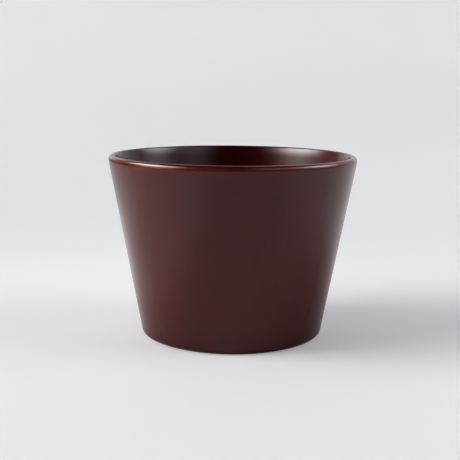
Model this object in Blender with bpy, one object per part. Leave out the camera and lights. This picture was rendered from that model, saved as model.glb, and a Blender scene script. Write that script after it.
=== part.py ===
"""A lacquered sake cup: a turned wooden core with one lacquer film on each of its faces.

All five pieces are solids of revolution. They come from one half section of the finished cup,
a line that starts on the axis at the inside floor, climbs the inner wall, crosses the lip, runs
down the outer wall and returns to the axis under the foot. A film lies between that line and the
same line moved into the material, and the wood fills what is left.
"""

from collections import namedtuple
from math import pi, tan

import bmesh
import bpy
from mathutils import Matrix, Vector

MM = 0.001

# The outer wall is one straight line, measured where it meets the crown's and the table's level.
HEIGHT = 48.0 * MM
MOUTH_RADIUS = 33.2 * MM
FOOT_RADIUS = 24.25 * MM

# The inner wall is a second line, so the wall is thin at the lip and thick at the floor. Just under
# the lip it opens out a little more, for drinking.
LIP_WIDTH = 1.45 * MM
FLARE_DEPTH = 1.6 * MM
FLARE_WIDTH = 0.61 * MM
FLOOR_LEVEL = 6.5 * MM
FLOOR_RADIUS = 21.4 * MM

# Outside, the lip is eased down to the wall by a narrow bevel between two soft roundings.
BEVEL_DEPTH = 1.09 * MM
BEVEL_WIDTH = 0.495 * MM

# The foot stands on a flat ring round a shallow turned recess.
FOOT_RING_WIDTH = 4.6 * MM
RECESS_DEPTH = 1.8 * MM

BOWL_ROUNDING = 8.0 * MM
FLARE_ROUNDING = 21.0 * MM
LIP_INNER_ROUNDING = 0.3 * MM
CROWN_ROUNDING = 0.81 * MM
BEVEL_ROUNDING = 2.18 * MM
FOOT_ROUNDING = 1.2 * MM
FOOT_RING_ROUNDING = 0.6 * MM
RECESS_ROUNDING = 1.0 * MM

# Films and where they end. Each one stays clear of the wood and of the next film by the bond gap.
COAT_THICKNESS = 0.25 * MM
BOND_GAP = 0.2 * MM
LIP_BAND_OUTSIDE = 1.9 * MM
LIP_BAND_INSIDE = 3.5 * MM
FOOT_BAND = 1.6 * MM

SEGMENTS = 60
ARC_STEPS = 4
SMALLEST_ROUNDING = 0.1 * MM
SHARPEST_SMOOTH_EDGE = 0.6

# A place on the half section where two straight sides meet: x is the radius, y the height.
Corner = namedtuple("Corner", "point rounding")


def corner(radius, height, rounding=0.0):
    return Corner(Vector((radius, height)), rounding)


def right_of(direction):
    """The unit vector square to a direction, on its right, which is the material's side."""
    return Vector((direction.y, -direction.x))


def directions(corners):
    points = [c.point for c in corners]
    return [(end - start).normalized() for start, end in zip(points, points[1:])]


def moved_in(corners, depth):
    """The line moved into the material, its roundings concentric or, where too small, left sharp."""
    sides = directions(corners)
    moved = []
    for index, (point, rounding) in enumerate(corners):
        before = sides[max(index - 1, 0)]
        after = sides[min(index, len(sides) - 1)]
        square = right_of(before) + right_of(after)
        shift = square * depth / (1 + before.dot(after))
        outside_corner = before.cross(after) < 0
        kept = rounding - depth if outside_corner else rounding + depth
        stays_round = rounding and kept > SMALLEST_ROUNDING
        moved.append(Corner(point + shift, kept if stays_round else 0.0))
    return moved


def limited(corners):
    """The corners with any rounding that its sides are too short for made smaller."""
    sides = directions(corners)
    reach = [0.0] * len(corners)
    for index in range(1, len(corners) - 1):
        turn = sides[index - 1].angle(sides[index])
        reach[index] = corners[index].rounding * tan(turn / 2)
    share = [1.0] * len(corners)
    for index in range(len(sides)):
        length = (corners[index + 1].point - corners[index].point).length
        needed = reach[index] + reach[index + 1]
        if needed > length:
            for end in (index, index + 1):
                share[end] = min(share[end], length / needed)
    return [Corner(c.point, c.rounding * part) for c, part in zip(corners, share)]


def rounded(corners):
    """The line as points, with an arc in place of each rounded corner."""
    corners = limited(corners)
    sides = directions(corners)
    points = [corners[0].point]
    for index in range(1, len(corners) - 1):
        point, rounding = corners[index]
        before = sides[index - 1]
        turn = before.angle_signed(sides[index])
        if not rounding:
            points.append(point)
            continue
        start = point - before * rounding * tan(abs(turn) / 2)
        inward = right_of(before) if turn > 0 else -right_of(before)
        centre = start + inward * rounding
        for step in range(ARC_STEPS + 1):
            swing = Matrix.Rotation(-turn * step / ARC_STEPS, 2)
            points.append(centre + swing @ (start - centre))
    points.append(corners[-1].point)
    return points


def level_on(start, end, height):
    """The place at one height on the straight side between two corners."""
    share = (height - start.point.y) / (end.point.y - start.point.y)
    return Corner(start.point.lerp(end.point, share), 0.0)


def material(name, red, green, blue, roughness):
    """A Principled surface. Its colour is given as eight-bit display values."""
    made = bpy.data.materials.new(name)
    made.use_nodes = True
    shader = made.node_tree.nodes["Principled BSDF"]
    linear = [((value / 255 + 0.055) / 1.055) ** 2.4 for value in (red, green, blue)]
    shader.inputs["Base Color"].default_value = (*linear, 1.0)
    shader.inputs["Roughness"].default_value = roughness
    shader.inputs["Metallic"].default_value = 0.0
    made.diffuse_color = (*linear, 1.0)
    return made


def turned(name, profile, closed, finish, parent):
    """One piece: a profile spun round the axis. An open profile starts and ends on the axis."""
    mesh = bmesh.new()
    ring = [mesh.verts.new((point.x, 0.0, point.y)) for point in profile]
    ends = ring[1:] + ring[:1] if closed else ring[1:]
    edges = [mesh.edges.new(pair) for pair in zip(ring, ends)]
    bmesh.ops.spin(
        mesh,
        geom=ring + edges,
        cent=(0.0, 0.0, 0.0),
        axis=(0.0, 0.0, 1.0),
        angle=2 * pi,
        steps=SEGMENTS,
        use_merge=True,
    )
    on_axis = [vert for vert in mesh.verts if vert.co.xy.length < BOND_GAP / 100]
    bmesh.ops.remove_doubles(mesh, verts=on_axis, dist=BOND_GAP / 100)
    bmesh.ops.recalc_face_normals(mesh, faces=mesh.faces)
    data = bpy.data.meshes.new(name)
    mesh.to_mesh(data)
    mesh.free()
    data.shade_smooth()
    data.set_sharp_from_angle(angle=SHARPEST_SMOOTH_EDGE)
    data.materials.append(finish)
    piece = bpy.data.objects.new(name, data)
    piece.parent = parent
    bpy.context.scene.collection.objects.link(piece)
    return piece


def film(run):
    """The two sides of a film: its face, and its back, which runs the other way."""
    face = rounded(run)
    back = rounded(moved_in(run, COAT_THICKNESS))
    return face, back[::-1]


def clear_scene():
    for thing in list(bpy.data.objects):
        bpy.data.objects.remove(thing, do_unlink=True)


def finished_section():
    """The corners of the finished cup's half section, in order round the material."""
    inner_lip = MOUTH_RADIUS - LIP_WIDTH
    bevel_foot = level_on(corner(FOOT_RADIUS, 0.0), corner(MOUTH_RADIUS, HEIGHT), HEIGHT - BEVEL_DEPTH)
    return [
        corner(0.0, FLOOR_LEVEL),
        corner(FLOOR_RADIUS, FLOOR_LEVEL, BOWL_ROUNDING),
        corner(inner_lip - FLARE_WIDTH, HEIGHT - FLARE_DEPTH, FLARE_ROUNDING),
        corner(inner_lip, HEIGHT, LIP_INNER_ROUNDING),
        corner(MOUTH_RADIUS - BEVEL_WIDTH, HEIGHT, CROWN_ROUNDING),
        Corner(bevel_foot.point, BEVEL_ROUNDING),
        corner(FOOT_RADIUS, 0.0, FOOT_ROUNDING),
        corner(FOOT_RADIUS - FOOT_RING_WIDTH, 0.0, FOOT_RING_ROUNDING),
        corner(FOOT_RADIUS - FOOT_RING_WIDTH, RECESS_DEPTH, RECESS_ROUNDING),
        corner(0.0, RECESS_DEPTH),
    ]


def build():
    clear_scene()
    cup = bpy.data.objects.new("sake_cup", None)
    bpy.context.scene.collection.objects.link(cup)

    section = finished_section()
    floor, bowl, flare, inner_lip, crown, bevel, foot, ring, recess, under = section
    half_gap = BOND_GAP / 2
    inner_seam = HEIGHT - LIP_BAND_INSIDE
    outer_seam = HEIGHT - LIP_BAND_OUTSIDE

    wood = material("turned_wood", 186, 146, 104, 0.7)
    core = rounded(moved_in(section, COAT_THICKNESS + BOND_GAP))
    turned("wood_core", core, False, wood, cup)

    brown = material("brown_lacquer_outside", 62, 36, 38, 0.25)
    wall_top = level_on(bevel, foot, outer_seam - half_gap)
    wall_foot = level_on(bevel, foot, FOOT_BAND + half_gap)
    face, back = film([wall_top, wall_foot])
    turned("outer_coat", face + back, True, brown, cup)

    dark = material("brown_lacquer_inside", 52, 24, 24, 0.25)
    bowl_top = level_on(bowl, flare, inner_seam - half_gap)
    face, back = film([floor, bowl, bowl_top])
    turned("inner_coat", face + back, False, dark, cup)

    red = material("thin_lacquer_lip", 92, 26, 16, 0.25)
    inner_end = level_on(bowl, flare, inner_seam + half_gap)
    outer_end = level_on(bevel, foot, outer_seam + half_gap)
    face, back = film([inner_end, flare, inner_lip, crown, bevel, outer_end])
    turned("lip_coat", face + back, True, red, cup)

    black = material("brown_lacquer_foot", 47, 27, 28, 0.35)
    foot_top = level_on(bevel, foot, FOOT_BAND - half_gap)
    face, back = film([foot_top, foot, ring, recess, under])
    turned("foot_coat", back + face, False, black, cup)


build()
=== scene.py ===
# %% [markdown]
# # A lacquered sake cup
# The cup is a turned wooden body under films of translucent red-brown lacquer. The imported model
# already holds every piece at its real size. This script gives those pieces a fine surface and
# their finish, lights them in a small studio and sets the camera at the photograph's angle.

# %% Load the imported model
from math import cos, pi, radians, sin, tan

import bmesh
import bpy
from mathutils import Matrix, Vector


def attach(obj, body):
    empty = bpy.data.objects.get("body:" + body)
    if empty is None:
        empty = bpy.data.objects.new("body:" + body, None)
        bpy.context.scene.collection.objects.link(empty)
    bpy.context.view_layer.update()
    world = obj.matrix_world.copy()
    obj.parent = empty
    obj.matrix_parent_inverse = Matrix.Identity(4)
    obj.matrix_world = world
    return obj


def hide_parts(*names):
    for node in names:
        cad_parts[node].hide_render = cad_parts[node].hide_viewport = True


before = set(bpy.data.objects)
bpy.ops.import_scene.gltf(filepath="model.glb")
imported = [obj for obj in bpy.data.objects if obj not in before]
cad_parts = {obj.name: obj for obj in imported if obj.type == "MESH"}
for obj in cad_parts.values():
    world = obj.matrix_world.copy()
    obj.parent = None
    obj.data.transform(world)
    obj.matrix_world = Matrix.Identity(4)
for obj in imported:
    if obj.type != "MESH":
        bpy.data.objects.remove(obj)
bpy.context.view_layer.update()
print("nodes:", sorted(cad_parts))

# %% [markdown]
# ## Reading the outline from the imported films
# Each packed film is a ring of flat facets. Its corners lie on the true outline, so a few of them
# give back the straight wall, the floor, the recess and the film's thickness. The sizes could be
# typed in again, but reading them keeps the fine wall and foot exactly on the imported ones.

# %% Read the half section
MM = 0.001


def rings(node):
    """The distinct (radius, height) pairs of a turned node's corners."""
    found = set()
    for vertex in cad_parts[node].data.vertices:
        found.add((round(vertex.co.xy.length, 6), round(vertex.co.z, 6)))
    return [Vector(pair) for pair in sorted(found)]


def farthest(points, outward, up):
    """The point that lies farthest along one direction of the half section."""
    return max(points, key=lambda point: point.x * outward + point.y * up)


HEIGHT = farthest(rings("lip_coat"), 0, 1).y
wall_top = farthest(rings("outer_coat"), 1, 1)
wall_foot = farthest(rings("foot_coat"), 1, 0)
film_end = farthest(rings("inner_coat"), 1, 0) - farthest(rings("inner_coat"), 0, 1)
COAT = film_end.length
FLOOR_LEVEL = farthest(rings("inner_coat"), 0, -1).y + COAT
RECESS_LEVEL = farthest(rings("foot_coat"), 0, 1).y - COAT
RECESS_RADIUS = min(ring.x for ring in rings("foot_coat") if ring.y < RECESS_LEVEL / 2)
print(f"film {COAT / MM:.2f} mm, floor at {FLOOR_LEVEL / MM:.2f}, recess {RECESS_LEVEL / MM:.2f} deep")

# %% [markdown]
# ## A fine outline
# A turned form is easiest to describe as straight sides with rounded corners, as a turner would
# draw it. A bevel modifier could round them, but here each corner is swapped for an arc of many
# short steps, so the lip and the foot stay round even when the camera comes close.

# %% Round the corners of a line
ARC_STEP = radians(5)
FEWEST_STEPS = 8


def rounded(corners):
    """Points along a line of (point, rounding) corners, with an arc at each rounded one."""
    points = [corners[0][0]]
    for (before, _), (corner, rounding), (after, _) in zip(corners, corners[1:], corners[2:]):
        inward = (corner - before).normalized()
        turn = inward.angle_signed(after - corner)
        start = corner - inward * rounding * tan(abs(turn) / 2)
        side = 1 if turn > 0 else -1
        centre = start + Vector((inward.y, -inward.x)) * rounding * side
        steps = max(FEWEST_STEPS, round(abs(turn) / ARC_STEP))
        for step in range(steps + 1):
            swing = Matrix.Rotation(-turn * step / steps, 2)
            points.append(centre + swing @ (start - centre))
    points.append(corners[-1][0])
    return points


def on_wall(height):
    """The point of the straight outer wall at one height."""
    along = wall_top - wall_foot
    return wall_foot + along * ((height - wall_foot.y) / along.y)


mouth = on_wall(HEIGHT)
foot_corner = on_wall(0.0)
print(f"mouth {mouth.x / MM:.2f} mm and foot {foot_corner.x / MM:.2f} mm in radius")

# %% [markdown]
# ## The inside and the lip
# Inside, the wall rises from a softly rounded floor and opens out a little more just under the lip.
# The lip has hardly any flat: a rounded crown runs from the inner edge to a narrow bevel, and the
# bevel eases it down to the wall. One round edge would be quicker to draw, but the bevel is what
# catches the long bright line along the near edge. The lip is drawn a few tenths of a millimetre
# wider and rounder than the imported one, because its reflections fit the photograph better that way.

# %% Draw the inside and the lip
FLOOR_RADIUS = 21.2 * MM
BOWL_ROUNDING = 8.0 * MM
LIP_WIDTH = 1.83 * MM
FLARE_DEPTH = 1.6 * MM
FLARE_WIDTH = 0.60 * MM
FLARE_ROUNDING = 20.8 * MM
LIP_INNER_ROUNDING = 0.6 * MM
CROWN_ROUNDING = 1.05 * MM
BEVEL_DEPTH = 1.2 * MM
BEVEL_WIDTH = 0.495 * MM
BEVEL_ROUNDING = 1.85 * MM
LIP_BAND_OUTSIDE = 1.9 * MM
LIP_BAND_INSIDE = 3.5 * MM

floor_centre = Vector((0.0, FLOOR_LEVEL))
bowl_corner = Vector((FLOOR_RADIUS, FLOOR_LEVEL))
inner_lip = mouth - Vector((LIP_WIDTH, 0.0))
flare = inner_lip - Vector((FLARE_WIDTH, FLARE_DEPTH))
crown = mouth - Vector((BEVEL_WIDTH, 0.0))
bevel = on_wall(HEIGHT - BEVEL_DEPTH)
outer_seam = on_wall(HEIGHT - LIP_BAND_OUTSIDE)
inner_seam_share = (HEIGHT - LIP_BAND_INSIDE - FLOOR_LEVEL) / (flare.y - FLOOR_LEVEL)
inner_seam = bowl_corner.lerp(flare, inner_seam_share)

bowl_line = rounded([(floor_centre, 0), (bowl_corner, BOWL_ROUNDING), (inner_seam, 0)])
lip_line = rounded(
    [
        (inner_seam, 0),
        (flare, FLARE_ROUNDING),
        (inner_lip, LIP_INNER_ROUNDING),
        (crown, CROWN_ROUNDING),
        (bevel, BEVEL_ROUNDING),
        (outer_seam, 0),
    ]
)
print(f"bowl line of {len(bowl_line)} points, lip line of {len(lip_line)}")

# %% [markdown]
# ## The outer wall and the foot
# The outer wall is one straight line. The foot's edge is rounded by a touch of the chisel, and the
# cup stands on a flat ring round a shallow recess, which keeps it from rocking. The recess could be
# cut out with a Boolean, but a turner cuts it in the same pass, so it is part of the same line here.

# %% Draw the wall and the foot
FOOT_BAND = 1.6 * MM
FOOT_ROUNDING = 1.2 * MM
FOOT_RING_ROUNDING = 0.6 * MM
RECESS_ROUNDING = 1.0 * MM

foot_seam = on_wall(FOOT_BAND)
wall_line = [outer_seam, foot_seam]
foot_line = rounded(
    [
        (foot_seam, 0),
        (foot_corner, FOOT_ROUNDING),
        (Vector((RECESS_RADIUS, 0.0)), FOOT_RING_ROUNDING),
        (Vector((RECESS_RADIUS, RECESS_LEVEL)), RECESS_ROUNDING),
        (Vector((0.0, RECESS_LEVEL)), 0),
    ]
)
print(f"foot line of {len(foot_line)} points")

# %% [markdown]
# ## Four films of lacquer
# Lacquer is brushed on in separate sittings, the inside, the outside, the lip and the foot, and
# each film is a thin closed shell. A film could be a Solidify modifier on an open surface. Here its
# back is drawn by moving every point of its face straight into the wood, which keeps the thickness
# even round the lip and lets neighbouring films share one exact seam.

# %% Turn the films
TURNS = 240
SMOOTH_UNDER = radians(40)
WELD = 0.001 * MM


def film_back(face):
    """The face's points moved one film thickness into the material, in the reverse order."""
    moved = []
    for index, point in enumerate(face):
        along = face[min(index + 1, len(face) - 1)] - face[max(index - 1, 0)]
        moved.append(point + Vector((along.y, -along.x)).normalized() * COAT)
    return moved[::-1]


def turned(name, profile, closed):
    """A mesh object made by spinning a profile of (radius, height) points round the cup's axis."""
    shape = bmesh.new()
    drawn = [shape.verts.new((point.x, 0.0, point.y)) for point in profile]
    followers = drawn[1:] + drawn[:1] if closed else drawn[1:]
    lines = [shape.edges.new(pair) for pair in zip(drawn, followers)]
    round_trip = {"cent": (0, 0, 0), "axis": (0, 0, 1), "angle": 2 * pi, "steps": TURNS}
    bmesh.ops.spin(shape, geom=drawn + lines, use_merge=True, **round_trip)
    bmesh.ops.remove_doubles(shape, verts=shape.verts, dist=WELD)
    bmesh.ops.recalc_face_normals(shape, faces=shape.faces)
    mesh = bpy.data.meshes.new(name)
    shape.to_mesh(mesh)
    shape.free()
    mesh.shade_smooth()
    mesh.set_sharp_from_angle(angle=SMOOTH_UNDER)
    piece = bpy.data.objects.new(name, mesh)
    bpy.context.scene.collection.objects.link(piece)
    return piece


def film(name, node, face):
    """One lacquer film, which takes the place of a packed film."""
    back = film_back(face)
    ends_on_axis = face[-1].x == 0.0
    on_axis = ends_on_axis or face[0].x == 0.0
    piece = turned(name, back + face if ends_on_axis else face + back, closed=not on_axis)
    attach(piece, "root")
    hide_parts(node)
    print(f"{name}: {len(piece.data.polygons)} faces")
    return piece


films = [
    film("wall_lacquer", "outer_coat", wall_line),
    film("bowl_lacquer", "inner_coat", bowl_line),
    film("lip_lacquer", "lip_coat", lip_line),
    film("foot_lacquer", "foot_coat", foot_line),
]

# %% [markdown]
# ## Tools for the finishes
# Colours are written as the hex values that a screen shows, and one function turns them into the
# linear numbers that the shader works with. A second small function adds a shader node with its
# settings and links, so each material reads as a list of steps.

# %% Colour and node helpers


def linear(hex_code):
    """An sRGB hex colour as linear red, green, blue and alpha."""
    channels = [int(hex_code[i : i + 2], 16) / 255 for i in (0, 2, 4)]
    return [c / 12.92 if c <= 0.04045 else ((c + 0.055) / 1.055) ** 2.4 for c in channels] + [1.0]


def add(tree, kind, inputs, tones=(), **settings):
    """Adds a node. An input takes a plain value, a socket, or a node whose first output is meant."""
    node = tree.nodes.new("ShaderNode" + kind)
    for name, value in settings.items():
        setattr(node, name, value)
    for place, _ in tones[1:-1]:
        node.color_ramp.elements.new(place)
    for stop, (place, tone) in zip(node.color_ramp.elements if tones else (), tones):
        stop.position = place
        stop.color = linear(tone)
    for name, value in inputs.items():
        if isinstance(value, bpy.types.Node):
            value = next(socket for socket in value.outputs if socket.enabled)
        if isinstance(value, bpy.types.NodeSocket):
            tree.links.new(value, node.inputs[name])
        else:
            node.inputs[name].default_value = value
    return node


def surface(name):
    """A new material, its node tree and its Principled shader."""
    made = bpy.data.materials.new(name)
    made.use_nodes = True
    return made, made.node_tree, made.node_tree.nodes["Principled BSDF"]


print("dark lacquer red in linear light:", [round(c, 4) for c in linear("4B0A0C")])

# %% [markdown]
# ## Translucent lacquer over red: the place on the cup
# The lacquer is hardened tree sap, a clear brown film brushed over a red under-coat. It looks almost
# black-red where it is thick and glows orange-red where it has drawn thin over the lip. A picture
# could be painted for that, but it would have to be unwrapped and would blur at the lip. Here one
# number, how thin the film is, drives the colour, and it is worked out from the place on the cup.
# In places that number also holds painted light and shade, as set out below. All four films use the
# same formula, so no colour changes at a seam.
#
# This first part measures the place: the height, and how far a point lies inside the outer wall.

# %% Start the lacquer with its place on the cup
SMOOTH = {"interpolation_type": "SMOOTHSTEP"}

lacquer, tree, shader = surface("brushed_translucent_lacquer")
place = add(tree, "TexCoord", {}).outputs["Object"]
axes = add(tree, "SeparateXYZ", {"Vector": place})
sideways = axes.outputs["X"]
height = axes.outputs["Z"]
plan = add(tree, "CombineXYZ", {"X": sideways, "Y": axes.outputs["Y"]})
radius = add(tree, "VectorMath", {0: plan}, operation="LENGTH").outputs["Value"]

wall_lean = (mouth.x - foot_corner.x) / HEIGHT
wall_radius = add(tree, "Math", {0: height, 1: wall_lean, 2: foot_corner.x}, operation="MULTIPLY_ADD")
depth = add(tree, "Math", {0: wall_radius, 1: radius}, operation="SUBTRACT")
outside = add(
    tree,
    "MapRange",
    {"Value": depth, "From Min": LIP_WIDTH, "From Max": BEVEL_WIDTH},
    **SMOOTH,
)
print(f"the wall leans out {wall_lean * 100:.1f} mm in every 100")

# %% [markdown]
# ## Where the film on the wall is thin
# A brushed film is never even. Under the lip it stays thick. On the left side of the upper wall it is
# made thinner and so redder, which is painted light from the main lamp on the left. It is thinner
# lower on the wall and is made thicker and darker again above the foot, which is painted shade.
# Vertex colours could hold that, but ranges of height don't depend on the mesh.

# %% Thin the film on the wall
UPPER_WALL = 44 * MM
MIDDLE_WALL = 26 * MM
TOP_THIN = 0.21
TOP_LIT_LEFT_THIN = 0.36
TOP_LIT_LEFT_FROM = -8 * MM
TOP_LIT_LEFT_TO = -32 * MM
MIDDLE_THIN = 0.30
FOOT_SHADE_BELOW = 8 * MM
FOOT_SHADE_AT = 1 * MM
FOOT_SHADE_SHARE = 0.7

# Painted light: the upper wall is thinner and redder on the left, where the main lamp falls.
top_thin_lit_left = add(
    tree,
    "MapRange",
    {
        "Value": sideways,
        "From Min": TOP_LIT_LEFT_FROM,
        "From Max": TOP_LIT_LEFT_TO,
        "To Min": TOP_THIN,
        "To Max": TOP_LIT_LEFT_THIN,
    },
)
wall_thin = add(
    tree,
    "MapRange",
    {
        "Value": height,
        "From Min": UPPER_WALL,
        "From Max": MIDDLE_WALL,
        "To Min": top_thin_lit_left,
        "To Max": MIDDLE_THIN,
    },
    **SMOOTH,
)
# Painted shade: the film is made thicker and darker from 8 mm down towards the foot.
painted_foot_shade = add(
    tree,
    "MapRange",
    {
        "Value": height,
        "From Min": FOOT_SHADE_BELOW,
        "From Max": FOOT_SHADE_AT,
        "To Min": 1.0,
        "To Max": FOOT_SHADE_SHARE,
    },
    **SMOOTH,
)
wall_film = add(tree, "Math", {0: wall_thin, 1: painted_foot_shade}, operation="MULTIPLY")
print(f"thinness on the wall from {TOP_THIN} under the lip to {MIDDLE_THIN} in the middle")

# %% [markdown]
# ## Where the film on the lip is thin
# Over the lip the film draws thin, and hands and cloths have rubbed it in blotches. The thin band
# reaches farther down on the left, which is painted light from the main lamp on that side. Near the
# front the brush was lifted off, which left a thicker dab on the crown. Each of these is a range of
# height or distance, so each can be set by itself.

# %% Thin the film on the lip
BLOTCH_SIZE = 5 * MM
BLOTCH_LOW = 0.35
BLOTCH_HIGH = 0.7
LEAST_RUBBED = 0.44
MOST_RUBBED = 0.67
THIN_ABOVE = HEIGHT - 0.75 * MM
THIN_FROM = HEIGHT - 1.6 * MM
THIN_FROM_LIT_LEFT = HEIGHT - 2.5 * MM
LIT_LEFT_FROM = -8 * MM
LIT_LEFT_TO = -16 * MM

# Painted light: on the left, where the main lamp falls, the thin red band reaches lower.
lit_left_thin_from = add(
    tree,
    "MapRange",
    {
        "Value": sideways,
        "From Min": LIT_LEFT_FROM,
        "From Max": LIT_LEFT_TO,
        "To Min": THIN_FROM,
        "To Max": THIN_FROM_LIT_LEFT,
    },
)
lip_thin = add(
    tree,
    "MapRange",
    {"Value": height, "From Min": lit_left_thin_from, "From Max": THIN_ABOVE},
    **SMOOTH,
)
blotches = add(tree, "TexNoise", {"Vector": place, "Scale": 1 / BLOTCH_SIZE, "Detail": 3})
rubbed = add(
    tree,
    "MapRange",
    {
        "Value": blotches,
        "From Min": BLOTCH_LOW,
        "From Max": BLOTCH_HIGH,
        "To Min": LEAST_RUBBED,
        "To Max": MOST_RUBBED,
    },
)
print(f"blotches of {BLOTCH_SIZE / MM:.0f} mm on the lip")

# %% Leave a thicker dab where the brush was lifted
BRUSH_LIFTED = (-4 * MM, -33 * MM, HEIGHT)
DAB_INSIDE = 4 * MM
DAB_OUTSIDE = 13 * MM
DAB_FROM = HEIGHT - 0.85 * MM
DAB_ABOVE = HEIGHT - 0.45 * MM
DAB_THICKER = 0.32

from_dab = add(tree, "VectorMath", {0: place, 1: BRUSH_LIFTED}, operation="DISTANCE").outputs["Value"]
dab_rise = add(
    tree,
    "MapRange",
    {"Value": height, "From Min": DAB_FROM, "From Max": DAB_ABOVE, "To Max": DAB_THICKER},
    **SMOOTH,
)
dab = add(
    tree,
    "MapRange",
    {
        "Value": from_dab,
        "From Min": DAB_INSIDE,
        "From Max": DAB_OUTSIDE,
        "To Min": dab_rise,
        "To Max": 0.0,
    },
    **SMOOTH,
)
rubbed_past_dab = add(tree, "Math", {0: rubbed, 1: dab}, operation="SUBTRACT")
lip_film = add(tree, "Math", {0: lip_thin, 1: rubbed_past_dab}, operation="MULTIPLY")
outer_film = add(tree, "Math", {0: wall_film, 1: lip_film}, operation="ADD")
print(f"the dab reaches {DAB_OUTSIDE / MM:.0f} mm along the lip")

# %% [markdown]
# ## The film inside, and its unevenness
# Inside, the film is thick and dark at the left and in the middle, and thin and red at the right,
# where the main lamp from the left shines onto the inner wall: this is painted light and shade. Two
# kinds of unevenness lie over everything: slow patches about as wide as a brush, and fine marks that
# follow the brush up the wall. Noise is stretched along the wall for the marks, and they are drawn
# about three times as wide as real brush hairs so that they show at all.

# %% Add the inside and the brush marks
INSIDE_SHADED_THIN = 0.12
INSIDE_LIT_THIN = 0.58
INSIDE_SHADED_TO = 8 * MM
INSIDE_LIT_FROM = 29 * MM
PATCH_SIZE = 12 * MM
PATCH_CHANGE = 0.035
BRUSH_MARK_WIDTH = 1.2 * MM
BRUSH_MARK_LENGTH = 22 * MM
BRUSH_MARK_CHANGE = 0.025
NOISE_RANGE = {"From Min": 0.3, "From Max": 0.7}

# Painted light and shade: thin and red on the lit right of the inside, thick and dark elsewhere.
inside_film_lit_right = add(
    tree,
    "MapRange",
    {
        "Value": sideways,
        "From Min": INSIDE_SHADED_TO,
        "From Max": INSIDE_LIT_FROM,
        "To Min": INSIDE_SHADED_THIN,
        "To Max": INSIDE_LIT_THIN,
    },
)
even_film = add(tree, "MapRange", {"Value": outside, "To Min": inside_film_lit_right, "To Max": outer_film})
patches = add(tree, "TexNoise", {"Vector": place, "Scale": 1 / PATCH_SIZE, "Detail": 2})
around = add(tree, "VectorMath", {0: plan}, operation="NORMALIZE")
spread_out = add(tree, "VectorMath", {0: around, "Scale": mouth.x / BRUSH_MARK_WIDTH}, operation="SCALE")
upward = add(tree, "Math", {0: height, 1: BRUSH_MARK_LENGTH}, operation="DIVIDE")
brush_place = add(tree, "VectorMath", {0: spread_out, 1: add(tree, "CombineXYZ", {"Z": upward})})
brush_marks = add(tree, "TexNoise", {"Vector": brush_place, "Scale": 1, "Detail": 2})
patchy = add(
    tree,
    "MapRange",
    {"Value": patches, **NOISE_RANGE, "To Min": -PATCH_CHANGE, "To Max": PATCH_CHANGE},
)
marked = add(
    tree,
    "MapRange",
    {"Value": brush_marks, **NOISE_RANGE, "To Min": -BRUSH_MARK_CHANGE, "To Max": BRUSH_MARK_CHANGE},
)
uneven = add(tree, "Math", {0: patchy, 1: marked}, operation="ADD")
# This sum also carries the painted light and shade set up above.
thinness_with_painted_light = add(tree, "Math", {0: even_film, 1: uneven}, operation="ADD")
print("lacquer nodes so far:", len(tree.nodes))

# %% [markdown]
# ## The lacquer's colour and gloss
# The colours run from the thick film to the thin one. Hardened lacquer has an index of refraction
# near 1.5, so the shader keeps the common specular level, and its satin gloss is a roughness near
# a fifth. The ring that the cup stands on is scuffed duller. The brush marks stir the roughness a
# little and raise a ripple of a few thousandths of a millimetre, which is enough to keep the
# reflections from looking like plastic.

# %% Colour and gloss the lacquer
FILM_TONES = ((0.0, "3C0708"), (0.25, "4B0A0C"), (0.4, "560A0B"), (0.72, "661F0A"), (1.0, "7A3C1A"))
LACQUER_IOR = 1.5
SMOOTHEST_LACQUER = 0.205
ROUGHEST_LACQUER = 0.235
SCUFFED_BELOW = 0.4 * MM
SCUFFED_MORE = 0.12
RIPPLE = 0.004 * MM

tone = add(tree, "ValToRGB", {"Fac": thinness_with_painted_light}, tones=FILM_TONES)
tree.links.new(tone.outputs["Color"], shader.inputs["Base Color"])
gloss = add(
    tree,
    "MapRange",
    {"Value": brush_marks, **NOISE_RANGE, "To Min": SMOOTHEST_LACQUER, "To Max": ROUGHEST_LACQUER},
)
scuffed = add(
    tree,
    "MapRange",
    {"Value": height, "From Min": SCUFFED_BELOW, "From Max": 0.0, "To Max": SCUFFED_MORE},
)
satin = add(tree, "Math", {0: gloss, 1: scuffed}, operation="ADD")
tree.links.new(satin.outputs["Value"], shader.inputs["Roughness"])
ripple = add(tree, "Bump", {"Height": brush_marks, "Distance": RIPPLE, "Strength": 1.0})
tree.links.new(ripple.outputs["Normal"], shader.inputs["Normal"])
shader.inputs["IOR"].default_value = LACQUER_IOR
for piece in films:
    piece.data.materials.append(lacquer)
print(f"{lacquer.name}: {len(tree.nodes)} nodes on {len(films)} films")

# %% [markdown]
# ## Turned hardwood
# Under the films is the wood itself, a pale hardwood turned across the grain. The films hide it, but
# anyone who lifts one off should find wood there. Growth rings are bands at a steady distance from
# the tree's heart, which lay well outside so small a blank, and pores run along the grain. A Wave
# texture could draw the rings, but the distance from the heart gives each ring its sharp late edge.

# %% Finish the wood core
RING_SPACING = 2.4 * MM
RING_WANDER = 20 * MM
HEART_AWAY = 70 * MM
PORE_WIDTH = 0.5 * MM
PORE_LENGTH = 8 * MM
PORE_LOW = 0.55
PORE_HIGH = 0.75
PORE_DARKER = 0.35
SMOOTHEST_WOOD = 0.55
ROUGHEST_WOOD = 0.75
RING_TONES = ((0.0, "CDA777"), (0.7, "BF9463"), (1.0, "A4784B"))
ACROSS_GRAIN = (1.0, 0.0, 1.0)

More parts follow.
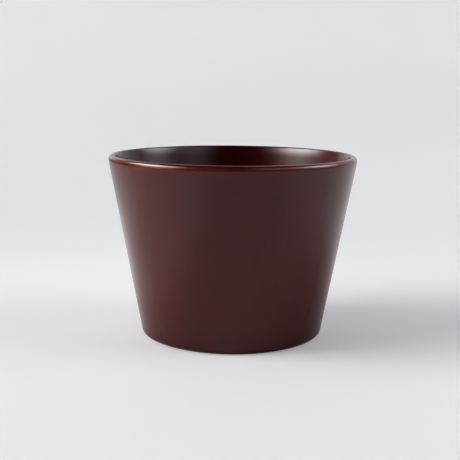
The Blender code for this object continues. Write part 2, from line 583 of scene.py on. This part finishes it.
wood, tree, shader = surface("turned_pale_hardwood")
place = add(tree, "TexCoord", {}).outputs["Object"]
from_heart = add(tree, "VectorMath", {0: place, 1: (HEART_AWAY, 0.0, 0.0)}, operation="ADD")
wander = add(tree, "TexNoise", {"Vector": place, "Scale": 1 / RING_WANDER, "Detail": 2})
across = add(tree, "VectorMath", {0: from_heart, 1: ACROSS_GRAIN}, operation="MULTIPLY")
ring_radius = add(tree, "VectorMath", {0: across}, operation="LENGTH").outputs["Value"]
ring_steps = {0: ring_radius, 1: 1 / RING_SPACING, 2: wander}
ring_count = add(tree, "Math", ring_steps, operation="MULTIPLY_ADD")
ring_part = add(tree, "Math", {0: ring_count}, operation="FRACT")
pore_sizes = (1 / PORE_WIDTH, 1 / PORE_LENGTH, 1 / PORE_WIDTH)
pore_place = add(tree, "VectorMath", {0: place, 1: pore_sizes}, operation="MULTIPLY")
pores = add(tree, "TexNoise", {"Vector": pore_place, "Scale": 1, "Detail": 2})
pore_range = {"Value": pores, "From Min": PORE_LOW, "From Max": PORE_HIGH, "To Max": PORE_DARKER}
darker = add(tree, "MapRange", pore_range)
grain = add(tree, "Math", {0: ring_part, 1: darker}, operation="ADD")
tone = add(tree, "ValToRGB", {"Fac": grain}, tones=RING_TONES)
tree.links.new(tone.outputs["Color"], shader.inputs["Base Color"])
bare = add(tree, "MapRange", {"Value": pores, "To Min": SMOOTHEST_WOOD, "To Max": ROUGHEST_WOOD})
tree.links.new(bare.outputs["Result"], shader.inputs["Roughness"])
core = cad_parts["wood_core"]
core.data.materials.clear()
core.data.materials.append(wood)
print(f"{wood.name}: rings every {RING_SPACING / MM:.1f} mm")

# %% [markdown]
# ## A lit paper table
# The cup stands on a wide sheet of pale paper that bends up into the backdrop, so from the front no
# edge shows behind it. A plane and a wall would show a line where they meet. One profile with a
# round bend, drawn out sideways, has none.

# %% Build the paper sweep
SWEEP_HALF_WIDTH = 3.0
SWEEP_FRONT = -1.0
SWEEP_BACK = 1.5
SWEEP_HEIGHT = 1.8
SWEEP_BEND = 0.7
BEND_STEPS = 18


def sweep():
    """The paper: flat under the cup, then one round bend up to the backdrop."""
    profile = [(SWEEP_FRONT, 0.0)]
    for step in range(BEND_STEPS + 1):
        swing = pi / 2 * step / BEND_STEPS
        bend_back = SWEEP_BACK - SWEEP_BEND * (1 - sin(swing))
        profile.append((bend_back, SWEEP_BEND * (1 - cos(swing))))
    profile.append((SWEEP_BACK, SWEEP_HEIGHT))
    shape = bmesh.new()
    left = [shape.verts.new((-SWEEP_HALF_WIDTH, y, z)) for y, z in profile]
    right = [shape.verts.new((SWEEP_HALF_WIDTH, y, z)) for y, z in profile]
    for i in range(len(profile) - 1):
        shape.faces.new((left[i], right[i], right[i + 1], left[i + 1]))
    mesh = bpy.data.meshes.new("paper_sweep")
    shape.to_mesh(mesh)
    shape.free()
    mesh.shade_smooth()
    made = bpy.data.objects.new("paper_sweep", mesh)
    bpy.context.scene.collection.objects.link(made)
    return made


floor = sweep()
print(f"paper sweep of {len(floor.data.polygons)} faces")

# %% [markdown]
# Matte paper scatters light evenly, so it has no gloss to speak of, and pressed fibres give it a
# faint cloudiness. The rest of its material works with places on the sheet, so they are read here.

# %% Start the paper
PAPER_TONES = ((0.0, "ECECEF"), (1.0, "F2F2F3"))
FIBRE_CLOUD = 6 * MM
PAPER_ROUGHNESS = 0.9

paper, tree, shader = surface("pressed_matte_paper")
place = add(tree, "TexCoord", {}).outputs["Object"]
axes = add(tree, "SeparateXYZ", {"Vector": place})
sideways = axes.outputs["X"]
backward = axes.outputs["Y"]
height = axes.outputs["Z"]
fibres = add(tree, "TexNoise", {"Vector": place, "Scale": 1 / FIBRE_CLOUD, "Detail": 4})
tone = add(tree, "ValToRGB", {"Fac": fibres}, tones=PAPER_TONES)
shader.inputs["Roughness"].default_value = PAPER_ROUGHNESS
shader.inputs["Specular IOR Level"].default_value = 0.0
floor.data.materials.append(paper)
print(f"{paper.name}: fibre clouds of {FIBRE_CLOUD / MM:.0f} mm")

# %% [markdown]
# ## The glow of the backdrop
# Light seems to come out of the paper itself, as on a lit table, and the cup throws only one soft
# shadow, away from the main lamp. A lamp overhead could brighten the paper too, but it would show as
# a streak on the lip, so the paper glows instead. The backdrop glows more than the table, and it
# dips a little behind the cup at the left, where the lamps behind a real sheet stand apart.

# %% Light the backdrop
GLOW_TINT = "F9FAFF"
GLOW = 0.225
BACKDROP_LIFT = 0.055
BACKDROP_HIGH = 0.13
DIP = 0.07
DIP_FULL = 0.17
DIP_FADES = 0.26
DIP_GONE = 1.0
DIP_LEFT = -0.15
DIP_RIGHT = 0.22

shader.inputs["Emission Color"].default_value = linear(GLOW_TINT)
raised = add(
    tree,
    "MapRange",
    {"Value": height, "From Max": BACKDROP_HIGH, "To Min": GLOW, "To Max": GLOW + BACKDROP_LIFT},
)
dip_starts = add(tree, "MapRange", {"Value": backward, "From Max": DIP_FULL, "To Max": DIP}, **SMOOTH)
dip_ends = add(
    tree,
    "MapRange",
    {
        "Value": backward,
        "From Min": DIP_FADES,
        "From Max": DIP_GONE,
        "To Min": dip_starts,
        "To Max": 0.0,
    },
)
dip = add(
    tree,
    "MapRange",
    {"Value": sideways, "From Min": DIP_LEFT, "From Max": DIP_RIGHT, "To Min": dip_ends, "To Max": 0.0},
)
backdrop = add(tree, "Math", {0: raised, 1: dip}, operation="SUBTRACT")
print(f"the backdrop glows from {GLOW} to {GLOW + BACKDROP_LIFT}")

# %% [markdown]
# ## The glow of the table
# Near the cup the table has a glow of its own, a little stronger to both sides. It is weaker in a
# soft ring round the cup, which shades the paper it stands on, and in the shadow behind it. It
# stops under the foot, because paper that is covered can't shine up at the cup.

# %% Light the table beside the cup
TABLE_GLOW = 0.236
TABLE_INSIDE = 70 * MM
TABLE_OUTSIDE = 160 * MM
LEFT_MORE = 0.018
LEFT_FROM = -10 * MM
LEFT_TO = -70 * MM
RIGHT_MORE = 0.022
RIGHT_FROM = 35 * MM
RIGHT_TO = 80 * MM
FOOT_MIDDLE = (0.0, 1 * MM, 0.0)

from_foot = add(tree, "VectorMath", {0: place, 1: FOOT_MIDDLE}, operation="DISTANCE").outputs["Value"]
left_more = add(
    tree,
    "MapRange",
    {"Value": sideways, "From Min": LEFT_FROM, "From Max": LEFT_TO, "To Max": LEFT_MORE},
)
right_more = add(
    tree,
    "MapRange",
    {"Value": sideways, "From Min": RIGHT_FROM, "From Max": RIGHT_TO, "To Max": RIGHT_MORE},
)
side_more = add(tree, "Math", {0: left_more, 1: right_more}, operation="ADD")
near_table = add(tree, "Math", {0: side_more, 1: TABLE_GLOW}, operation="ADD")
table = add(
    tree,
    "MapRange",
    {
        "Value": from_foot,
        "From Min": TABLE_INSIDE,
        "From Max": TABLE_OUTSIDE,
        "To Min": near_table,
        "To Max": backdrop,
    },
)
print(f"the table glows at {TABLE_GLOW} within {TABLE_INSIDE / MM:.0f} mm of the cup")

# %% Shade the table round the cup
BACK_MIDDLE = (35 * MM, 36 * MM, 0.0)
BACK_INSIDE = 6 * MM
BACK_OUTSIDE = 32 * MM
BACK_SHADE = 0.015
NEAR_MIDDLE = (7 * MM, -9 * MM, 0.0)
NEAR_INSIDE = 16 * MM
NEAR_OUTSIDE = 52 * MM
NEAR_GLOW = 0.197
COVERED_TO = 21 * MM
CLEAR_FROM = 25.5 * MM

from_back = add(tree, "VectorMath", {0: place, 1: BACK_MIDDLE}, operation="DISTANCE").outputs["Value"]
from_near = add(tree, "VectorMath", {0: place, 1: NEAR_MIDDLE}, operation="DISTANCE").outputs["Value"]
back_shade = add(
    tree,
    "MapRange",
    {"Value": from_back, "From Min": BACK_OUTSIDE, "From Max": BACK_INSIDE, "To Max": BACK_SHADE},
    **SMOOTH,
)
shaded = add(tree, "Math", {0: table, 1: back_shade}, operation="SUBTRACT")
ringed = add(
    tree,
    "MapRange",
    {
        "Value": from_near,
        "From Min": NEAR_INSIDE,
        "From Max": NEAR_OUTSIDE,
        "To Min": NEAR_GLOW,
        "To Max": shaded,
    },
    **SMOOTH,
)
seen_glow = add(
    tree,
    "MapRange",
    {"Value": from_foot, "From Min": COVERED_TO, "From Max": CLEAR_FROM, "To Max": ringed},
    **SMOOTH,
)
print(f"the ring round the cup glows at {NEAR_GLOW}")

# %% [markdown]
# ## Cards on the table that only reflections see
# A photographer of lacquer lays white and black cards round the piece, just out of the picture, to
# shape what the gloss mirrors. Real planes could do that here, but they would also cast shadows and
# show in other views. So the paper takes another glow for glossy rays: darker close to the foot and
# in front at the right, and brighter to the left and to the right of the cup.

# %% Lay the cards on the table
MIRROR_SHARE = 0.8
MIRROR_COVERED_TO = 24.5 * MM
MIRROR_CLEAR_FROM = 29 * MM
BLACK_CARD = (34 * MM, -15 * MM, 0.0)
BLACK_CARD_INSIDE = 12 * MM
BLACK_CARD_OUTSIDE = 44 * MM
BLACK_CARD_SHARE = 0.35

mirror_covered = add(
    tree,
    "MapRange",
    {
        "Value": from_foot,
        "From Min": MIRROR_COVERED_TO,
        "From Max": MIRROR_CLEAR_FROM,
        "To Max": ringed,
    },
    **SMOOTH,
)
from_card = add(tree, "VectorMath", {0: place, 1: BLACK_CARD}, operation="DISTANCE").outputs["Value"]
card_share = add(
    tree,
    "MapRange",
    {
        "Value": from_card,
        "From Min": BLACK_CARD_INSIDE,
        "From Max": BLACK_CARD_OUTSIDE,
        "To Min": BLACK_CARD_SHARE * MIRROR_SHARE,
        "To Max": MIRROR_SHARE,
    },
    **SMOOTH,
)
past_black_card = add(tree, "Math", {0: mirror_covered, 1: card_share}, operation="MULTIPLY")
print(f"the black card keeps {BLACK_CARD_SHARE:.0%} of the glow")

# %% Lay the white cards
LEFT_SHEET_GLOW = 0.30
LEFT_SHEET_FROM = -28 * MM
LEFT_SHEET_TO = -60 * MM
LEFT_SHEET_FADES = 130 * MM
LEFT_SHEET_GONE = 250 * MM
RIGHT_SHEET_GLOW = 0.175
RIGHT_SHEET_FROM = 68 * MM
RIGHT_SHEET_TO = 100 * MM

left_reach = add(
    tree,
    "MapRange",
    {"Value": from_foot, "From Min": LEFT_SHEET_GONE, "From Max": LEFT_SHEET_FADES},
    **SMOOTH,
)
left_edge = add(
    tree,
    "MapRange",
    {
        "Value": sideways,
        "From Min": LEFT_SHEET_FROM,
        "From Max": LEFT_SHEET_TO,
        "To Max": LEFT_SHEET_GLOW,
    },
    **SMOOTH,
)
left_sheet = add(tree, "Math", {0: left_edge, 1: left_reach}, operation="MULTIPLY")
right_sheet = add(
    tree,
    "MapRange",
    {
        "Value": sideways,
        "From Min": RIGHT_SHEET_FROM,
        "From Max": RIGHT_SHEET_TO,
        "To Max": RIGHT_SHEET_GLOW,
    },
    **SMOOTH,
)
both_sheets = add(tree, "Math", {0: left_sheet, 1: right_sheet}, operation="ADD")
on_table = add(tree, "Math", {0: past_black_card, 1: both_sheets}, operation="ADD")
print(f"white cards glow {LEFT_SHEET_GLOW} at the left and {RIGHT_SHEET_GLOW} at the right")

# %% [markdown]
# ## A wing and a flag that only reflections see
# Two more marks in the paper's glow for glossy rays stand for things farther back; both are painted
# reflections. A white wing at the left of the backdrop gives the wall its pale edge, and a dark flag
# beyond it leaves the ends of the lip dark. The flag's edge leans out as it rises. It dims the
# paper's own colour too, or the lamps would light it for the reflections.

# %% Stand the wing and the flag
WING_GLOW = 0.5
WING_FROM = -0.2
WING_TO = -0.5
WING_LOW = 0.06
WING_FULL = 0.16
WING_FADES = 0.7
WING_GONE = 1.0
FLAG_RISE = 0.3
FLAG_SHARE = 0.3
FLAG_DARK_LOW = -0.45
FLAG_DARK_HIGH = -1.5
FLAG_CLEAR_LOW = -0.2
FLAG_CLEAR_HIGH = -0.9

wing_top = add(
    tree,
    "MapRange",
    {"Value": height, "From Min": WING_GONE, "From Max": WING_FADES},
    **SMOOTH,
)
wing_reach = add(
    tree,
    "MapRange",
    {"Value": height, "From Min": WING_LOW, "From Max": WING_FULL, "To Max": wing_top},
    **SMOOTH,
)
wing_edge = add(
    tree,
    "MapRange",
    {"Value": sideways, "From Min": WING_FROM, "From Max": WING_TO, "To Max": WING_GLOW},
    **SMOOTH,
)
wing = add(tree, "Math", {0: wing_edge, 1: wing_reach}, operation="MULTIPLY")
carded = add(tree, "Math", {0: on_table, 1: wing}, operation="ADD")
flag_dark = add(
    tree,
    "MapRange",
    {"Value": height, "From Max": FLAG_RISE, "To Min": FLAG_DARK_LOW, "To Max": FLAG_DARK_HIGH},
)
flag_clear = add(
    tree,
    "MapRange",
    {"Value": height, "From Max": FLAG_RISE, "To Min": FLAG_CLEAR_LOW, "To Max": FLAG_CLEAR_HIGH},
)
unflagged = add(
    tree,
    "MapRange",
    {"Value": sideways, "From Min": flag_dark, "From Max": flag_clear, "To Min": FLAG_SHARE},
    **SMOOTH,
)
print(f"the flag keeps {FLAG_SHARE:.0%} of the light")

# %% Give the camera one glow and reflections the other
mirrored = add(tree, "LightPath", {}).outputs["Is Glossy Ray"]
kept = add(tree, "MapRange", {"Value": mirrored, "To Min": 1.0, "To Max": unflagged})
lit_tone = add(tree, "VectorMath", {0: tone, "Scale": kept}, operation="SCALE")
tree.links.new(lit_tone.outputs["Vector"], shader.inputs["Base Color"])
mirror_glow = add(tree, "Math", {0: carded, 1: unflagged}, operation="MULTIPLY")
glow = add(tree, "MapRange", {"Value": mirrored, "To Min": seen_glow, "To Max": mirror_glow})
tree.links.new(glow.outputs["Result"], shader.inputs["Emission Strength"])
print(f"{paper.name}: {len(tree.nodes)} nodes")

# %% [markdown]
# ## Two softboxes and their cards
# A large softbox on the left is the main lamp, and a weaker one on the right fills in. A fabric
# softbox is brightest in its middle and fades to its edges, and that fade is what makes the long
# soft streaks on the lip and the inside. Each box is a pair of lamps here, one that lights and one
# that only shows in reflections, so the streaks can be set without changing the shadow. Low boxes
# and dim white cards, which only reflections see, fill the lip and the inside between the streaks.
# A grid on the main box keeps its light off the backdrop, as a fabric grid does in a studio.

# %% Make a softbox
LIGHT_DISTANCE = 2.0
GLINT_NEARER = 0.95
BOX_MIDDLE = (0.5, 0.5, 0.0)
BOX_EDGE = 0.5


def softbox(name, azimuth, elevation, across, up, radiance, tint, glint):
    """An area light that faces the cup. Azimuth 0 is behind the cup and 90 is to its right."""
    light = bpy.data.lights.new(name, "AREA")
    light.shape = "RECTANGLE"
    light.size = 2 * LIGHT_DISTANCE * tan(radians(across / 2))
    light.size_y = 2 * LIGHT_DISTANCE * tan(radians(up / 2))
    light.energy = radiance * pi * light.size * light.size_y
    light.color = linear(tint)[:3]
    light.use_nodes = True
    tree = light.node_tree
    place = add(tree, "NewGeometry", {}).outputs["Parametric"]
    off_centre = add(tree, "VectorMath", {0: place, 1: BOX_MIDDLE}, operation="SUBTRACT")
    reach = add(tree, "VectorMath", {0: off_centre}, operation="LENGTH").outputs["Value"]
    fade = add(
        tree,
        "MapRange",
        {"Value": reach, "From Max": BOX_EDGE, "To Min": 1.0, "To Max": 0.0},
        interpolation_type="SMOOTHERSTEP",
    )
    tree.links.new(fade.outputs["Result"], tree.nodes["Emission"].inputs["Strength"])
    box = bpy.data.objects.new(name, light)
    turn = radians(azimuth)
    rise = radians(elevation)
    towards = Vector((sin(turn) * cos(rise), cos(turn) * cos(rise), sin(rise)))
    away = LIGHT_DISTANCE * (GLINT_NEARER if glint else 1)
    box.location = Vector((0, 0, HEIGHT)) + towards * away
    box.rotation_euler = towards.to_track_quat("Z", "Y").to_euler()
    box.visible_camera = False
    box.visible_diffuse = not glint
    box.visible_glossy = glint
    bpy.context.scene.collection.objects.link(box)
    print(f"{name}: {light.size:.2f} by {light.size_y:.2f} m")
    return light


# %% Place the lamps
KEY_GRID = radians(112)
KEY_TINT = "FFFFFB"
FILL_TINT = "FAFBFF"
WHITE = "FFFFFF"
COOL_WHITE = "F4F6FF"
CARD_WHITE = "F2F6FF"

key = softbox("key_light", -96, 29, 74, 30, 5.15, KEY_TINT, glint=False)
key.spread = KEY_GRID
softbox("key_glint", -92.5, 35, 71, 40, 17.0, WHITE, glint=True)
softbox("low_key_glint", -108, 8, 55, 22, 4.0, WHITE, glint=True)
softbox("left_card", -126, 34, 40, 30, 1.6, WHITE, glint=True)
softbox("low_left_card", -82, 11.5, 60, 14, 0.75, WHITE, glint=True)
softbox("fill_light", 92, 29, 58, 30, 6.15, FILL_TINT, glint=False)
softbox("fill_glint", 84.5, 34, 60, 40, 9.0, COOL_WHITE, glint=True)
softbox("low_fill_glint", 92, 12, 80, 22, 1.25, COOL_WHITE, glint=True)
softbox("right_card", 134, 27, 60, 40, 0.95, CARD_WHITE, glint=True)
softbox("high_right_card", 133, 44, 58, 34, 1.6, CARD_WHITE, glint=True)

# %% [markdown]
# ## A dark room
# The room beyond the lamps is dark, and the dark bands between the streaks are its reflection. A
# built room would do, but the world's background is simpler. Only rays that go straight to the
# camera see it as a pale wall, so a view from another side has no black edge.

# %% Darken the room
ROOM_TINT = "F4F5FA"
ROOM_LIGHT = 0.02
ROOM_SEEN = 0.6

room = bpy.data.worlds.new("dark_room")
bpy.context.scene.world = room
room.use_nodes = True
tree = room.node_tree
seen = add(tree, "LightPath", {}).outputs["Is Camera Ray"]
strength = add(tree, "MapRange", {"Value": seen, "To Min": ROOM_LIGHT, "To Max": ROOM_SEEN})
back_wall = tree.nodes["Background"]
back_wall.inputs["Color"].default_value = linear(ROOM_TINT)
tree.links.new(strength.outputs["Result"], back_wall.inputs["Strength"])
print("room light", ROOM_LIGHT)

# %% [markdown]
# ## The camera
# The camera stands low in front of the cup and looks a little down into it. Its distance, height
# and lens were fitted so that the mouth, both walls and the foot fall on the photograph's outline.
# The look adds the contrast that a camera gives a picture.

# %% Set up the camera
IMAGE_PX = 460
FOCAL_PX = 882.69
SENSOR_MM = 36
CAMERA_BACK = 235.776 * MM
CAMERA_HEIGHT = 67.938 * MM
PITCH = radians(9.732)
YAW = radians(-0.143)
ROLL = radians(0.544)
NEAREST_SEEN = 10 * MM

camera = bpy.data.cameras.new("photo_camera")
camera.sensor_width = SENSOR_MM
camera.lens = FOCAL_PX / IMAGE_PX * SENSOR_MM
camera.clip_start = NEAREST_SEEN
eye = bpy.data.objects.new("photo_camera", camera)
eye.matrix_world = (
    Matrix.Translation((0, -CAMERA_BACK, CAMERA_HEIGHT))
    @ Matrix.Rotation(-YAW, 4, "Z")
    @ Matrix.Rotation(pi / 2 - PITCH, 4, "X")
    @ Matrix.Rotation(ROLL, 4, "Z")
)
bpy.context.scene.collection.objects.link(eye)
bpy.context.scene.camera = eye
bpy.context.scene.view_settings.view_transform = "Standard"
bpy.context.scene.view_settings.look = "Medium High Contrast"
print(f"lens {camera.lens:.1f} mm")
